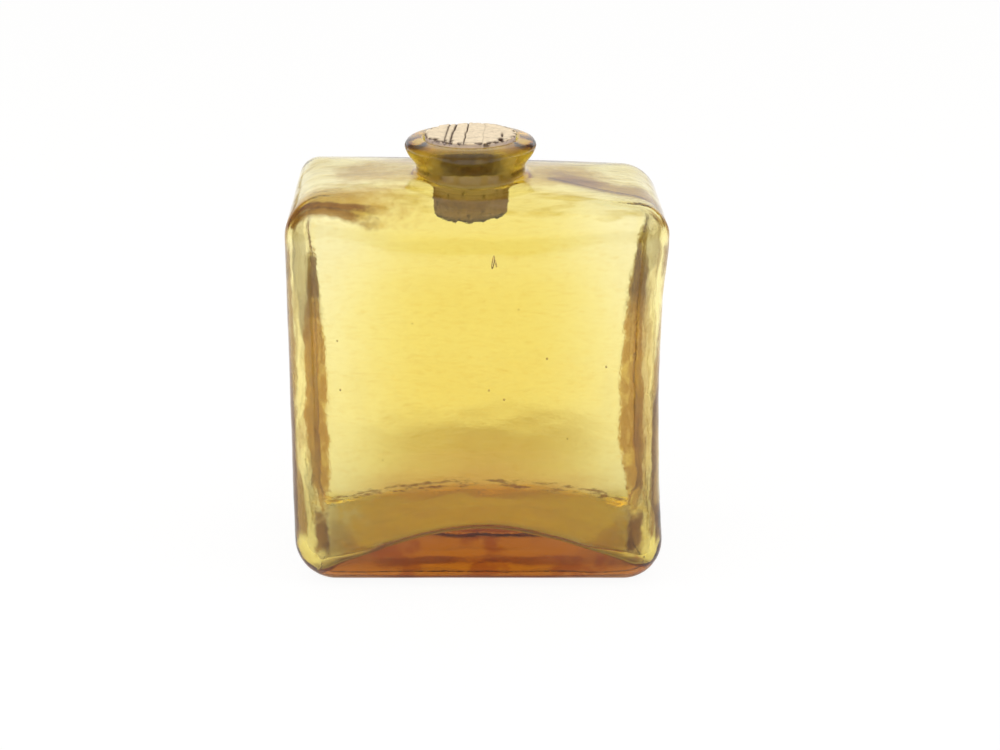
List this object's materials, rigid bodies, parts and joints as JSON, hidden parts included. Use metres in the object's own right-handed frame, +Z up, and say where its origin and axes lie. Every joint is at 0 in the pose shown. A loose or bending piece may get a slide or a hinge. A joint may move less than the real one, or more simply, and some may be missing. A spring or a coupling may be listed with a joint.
{
  "type": "corked glass bottle",
  "caption": "Square-shouldered amber glass bottle, blown in a mould, with a short neck, a wide rounded lip and a tapered cork stopper.",
  "frame": {"origin": "middle of the face that the bottle stands on", "axes": "+Z up along the neck, +X along the wide side to the viewer's right, -Y towards the viewer"},
  "size_m": [0.1313, 0.073, 0.1566],
  "materials": {
    "amber_glass": "mould-blown soda-lime glass, yellow amber, fire-polished lip, faintly wavy faces",
    "natural_cork": "one-piece natural cork, cut and sanded, with pits and growth lines"
  },
  "bodies": {
    "bottle": {"glass_bottle": "amber_glass"},
    "stopper": {"cork_stopper": "natural_cork"}
  },
  "joints": [
    {"name": "stopper_lift", "type": "slide", "parent": "bottle", "child": "stopper", "axis": [0, 0, 1], "range_m": [0, 0.06]}
  ]
}
